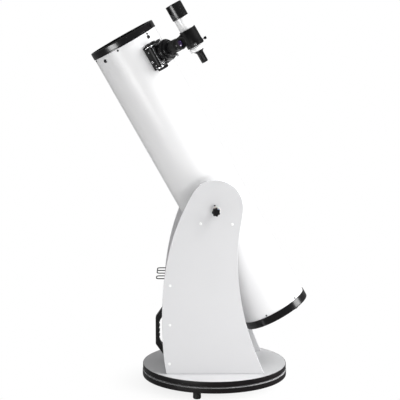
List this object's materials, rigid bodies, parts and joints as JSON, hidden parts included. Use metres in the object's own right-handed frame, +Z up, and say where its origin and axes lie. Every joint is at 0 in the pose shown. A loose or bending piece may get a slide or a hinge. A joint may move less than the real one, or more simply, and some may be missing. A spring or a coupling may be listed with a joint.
{
  "type": "dobsonian telescope",
  "caption": "Newtonian reflector tube with focuser and finder on a wooden alt-azimuth rocker base with round boards, feet, carry handle and eyepiece rack.",
  "frame": {"origin": "on the ground, at the bottom centre of the bounding box in the rest pose; the azimuth axis stands at x = +0.04968 m", "axes": "+Z up; +X towards the mirror end of the tube at rest, away from the front board; Y along the altitude pivot"},
  "size_m": [0.7482, 0.51, 1.3478],
  "materials": {
    "white_laminate": "white melamine laminate on particle board, satin",
    "white_tube_paint": "gloss white enamel on steel",
    "black_enamel": "gloss black enamel",
    "black_edge_band": "black PVC edge band, semi-gloss",
    "black_plastic": "moulded black plastic, satin",
    "black_anodised": "black anodised aluminium, satin",
    "white_anodised": "white enamel on aluminium",
    "rubber": "soft black rubber",
    "nylon": "natural nylon",
    "bright_steel": "bright plated steel",
    "zinc_steel": "zinc plated steel",
    "mirror_glass": "aluminised front surface on glass"
  },
  "bodies": {
    "ground_base": {"ground_board": "white_laminate", "ground_edge_band": "black_edge_band", "foot_1": "black_plastic", "foot_2": "black_plastic", "foot_3": "black_plastic", "azimuth_pad_1": "nylon", "azimuth_pad_2": "nylon", "azimuth_pad_3": "nylon", "azimuth_bolt": "zinc_steel", "azimuth_nut": "zinc_steel"},
    "rocker": {"table_board": "white_laminate", "table_edge_band": "black_edge_band", "side_panel_left": "white_laminate", "side_panel_right": "white_laminate", "front_board": "white_laminate", "carry_handle": "black_plastic", "eyepiece_rack": "bright_steel", "bearing_stud_left_front": "nylon", "bearing_stud_left_rear": "nylon", "bearing_stud_right_front": "nylon", "bearing_stud_right_rear": "nylon"},
    "tube": {"optical_tube": "white_tube_paint", "top_end_ring": "black_enamel", "bottom_end_ring": "black_enamel", "altitude_bearing_left": "black_plastic", "altitude_bearing_right": "black_plastic", "spider": "black_enamel", "mirror_cell_frame": "black_anodised", "focuser_base": "black_anodised", "focuser_body": "black_anodised", "finder_shoe": "black_plastic"},
    "tension_knob_left": {"tension_knob_left": "black_plastic", "tension_washer_left": "nylon"},
    "tension_knob_right": {"tension_knob_right": "black_plastic", "tension_washer_right": "nylon"},
    "mirror": {"primary_mirror": "mirror_glass", "mirror_support_plate": "black_anodised"},
    "collimation_knob_1": {"collimation_knob_1": "black_plastic"},
    "collimation_knob_2": {"collimation_knob_2": "black_plastic"},
    "collimation_knob_3": {"collimation_knob_3": "black_plastic"},
    "secondary": {"secondary_holder": "black_anodised", "secondary_mirror": "mirror_glass"},
    "drawtube": {"drawtube": "black_anodised", "eyepiece_adapter": "black_anodised"},
    "eyepiece": {"eyepiece_barrel": "black_anodised", "eyepiece_eyecup": "rubber"},
    "focus_axle": {"focus_axle": "bright_steel", "focus_knob_upper": "black_anodised", "focus_knob_lower": "black_anodised"},
    "focus_lock_screw": {"focus_lock_screw": "bright_steel"},
    "drawtube_lock_screw": {"drawtube_lock_screw": "bright_steel"},
    "eyepiece_lock_screw": {"eyepiece_lock_screw": "bright_steel"},
    "finder_bracket": {"finder_bracket": "black_plastic"},
    "finder": {"finder_tube": "white_anodised", "finder_rear_ring": "white_anodised"},
    "finder_objective_cell": {"finder_dew_cap": "black_anodised"},
    "finder_eyepiece": {"finder_eyepiece": "black_anodised"},
    "finder_screw_outer": {"finder_screw_outer": "bright_steel"},
    "finder_screw_side": {"finder_screw_side": "bright_steel"},
    "finder_plunger": {"finder_plunger": "bright_steel"}
  },
  "joints": [
    {"name": "azimuth", "type": "hinge", "parent": "ground_base", "child": "rocker", "pos_m": [0.04968, 0, 0.0495], "axis": [0, 0, 1], "continuous": true},
    {"name": "altitude", "type": "hinge", "parent": "rocker", "child": "tube", "pos_m": [0.05248, 0, 0.6434], "axis": [0, 1, 0], "range_deg": [-60.7, 29.2]},
    {"name": "tension_left_turn", "type": "hinge", "parent": "tube", "child": "tension_knob_left", "pos_m": [0.05248, -0.157, 0.6434], "axis": [0, -1, 0], "range_deg": [0, 720]},
    {"name": "tension_right_turn", "type": "hinge", "parent": "tube", "child": "tension_knob_right", "pos_m": [0.05248, 0.157, 0.6434], "axis": [0, 1, 0], "range_deg": [0, 720]},
    {"name": "mirror_tilt", "type": "hinge", "parent": "tube", "child": "mirror", "pos_m": [0.25697, -0.0375, 0.27826], "axis": [0.8725, 0, 0.4886], "range_deg": [-0.5, 0.5]},
    {"name": "collimation_1_turn", "type": "hinge", "parent": "tube", "child": "collimation_knob_1", "pos_m": [0.27236, 0.075, 0.25078], "axis": [-0.4886, 0, 0.8725], "range_deg": [-360, 360]},
    {"name": "collimation_2_turn", "type": "hinge", "parent": "tube", "child": "collimation_knob_2", "pos_m": [0.21569, -0.0375, 0.21904], "axis": [-0.4886, 0, 0.8725], "range_deg": [-360, 360]},
    {"name": "collimation_3_turn", "type": "hinge", "parent": "tube", "child": "collimation_knob_3", "pos_m": [0.32903, -0.0375, 0.28252], "axis": [-0.4886, 0, 0.8725], "range_deg": [-360, 360]},
    {"name": "secondary_turn", "type": "hinge", "parent": "tube", "child": "secondary", "pos_m": [-0.21846, 0, 1.1272], "axis": [-0.4886, 0, 0.8725], "range_deg": [-10, 10]},
    {"name": "focus_travel", "type": "slide", "parent": "tube", "child": "drawtube", "axis": [0.6381, -0.682, 0.3574], "range_m": [-0.008, 0.03]},
    {"name": "focus_knob_turn", "type": "hinge", "parent": "tube", "child": "focus_axle", "pos_m": [-0.14745, -0.118, 1.16697], "axis": [-0.4886, 0, 0.8725], "range_deg": [-575, 155]},
    {"name": "focus_lock_turn", "type": "hinge", "parent": "tube", "child": "focus_lock_screw", "pos_m": [-0.15876, -0.12591, 1.14688], "axis": [-0.595, -0.7314, -0.3332], "range_deg": [0, 360]},
    {"name": "drawtube_lock_turn", "type": "hinge", "parent": "drawtube", "child": "drawtube_lock_screw", "pos_m": [-0.12385, -0.14214, 1.14731], "axis": [-0.2072, -0.5991, -0.7734], "range_deg": [0, 360]},
    {"name": "eyepiece_lock_turn", "type": "hinge", "parent": "drawtube", "child": "eyepiece_lock_screw", "pos_m": [-0.07798, -0.10926, 1.17014], "axis": [0.7207, 0.3657, -0.589], "range_deg": [0, 360]},
    {"name": "eyepiece_slide", "type": "slide", "parent": "drawtube", "child": "eyepiece", "axis": [0.6381, -0.682, 0.3574], "range_m": [0, 0.022]},
    {"name": "finder_slide", "type": "slide", "parent": "tube", "child": "finder_bracket", "axis": [-0.4886, 0, 0.8725], "range_m": [0, 0.045]},
    {"name": "finder_tilt", "type": "hinge", "parent": "finder_bracket", "child": "finder", "pos_m": [-0.04276, 0.01096, 1.24164], "axis": [-0.0457, 0.9986, -0.0256], "range_deg": [-1.5, 1.5]},
    {"name": "finder_screw_outer_turn", "type": "hinge", "parent": "finder_bracket", "child": "finder_screw_outer", "pos_m": [0.01168, 0.01279, 1.21597], "axis": [0.8713, 0.0523, 0.488], "range_deg": [-930, 930]},
    {"name": "finder_screw_side_turn", "type": "hinge", "parent": "finder_bracket", "child": "finder_screw_side", "pos_m": [-0.01722, -0.02399, 1.19979], "axis": [0.0457, -0.9986, 0.0256], "range_deg": [-360, 360]},
    {"name": "finder_plunger_travel", "type": "slide", "parent": "finder_bracket", "child": "finder_plunger", "axis": [-0.6484, 0.6691, -0.3631], "range_m": [-0.00095, 0.00095]},
    {"name": "objective_turn", "type": "hinge", "parent": "finder", "child": "finder_objective_cell", "pos_m": [-0.0777, 0.01096, 1.30403], "axis": [-0.4886, 0, 0.8725], "range_deg": [-180, 180]},
    {"name": "finder_eyepiece_turn", "type": "hinge", "parent": "finder", "child": "finder_eyepiece", "pos_m": [0.00048, 0.01096, 1.16443], "axis": [-0.4886, 0, 0.8725], "range_deg": [-90, 90]}
  ],
  "couplings": [
    {"joint": "focus_knob_turn", "follows": "focus_travel", "rad_per_m": -333.33},
    {"joint": "collimation_1_turn", "follows": "mirror_tilt", "ratio": 706.86},
    {"joint": "finder_plunger_travel", "follows": "finder_tilt", "m_per_rad": 0.03465},
    {"joint": "finder_screw_outer_turn", "follows": "finder_tilt", "ratio": 615.75}
  ]
}
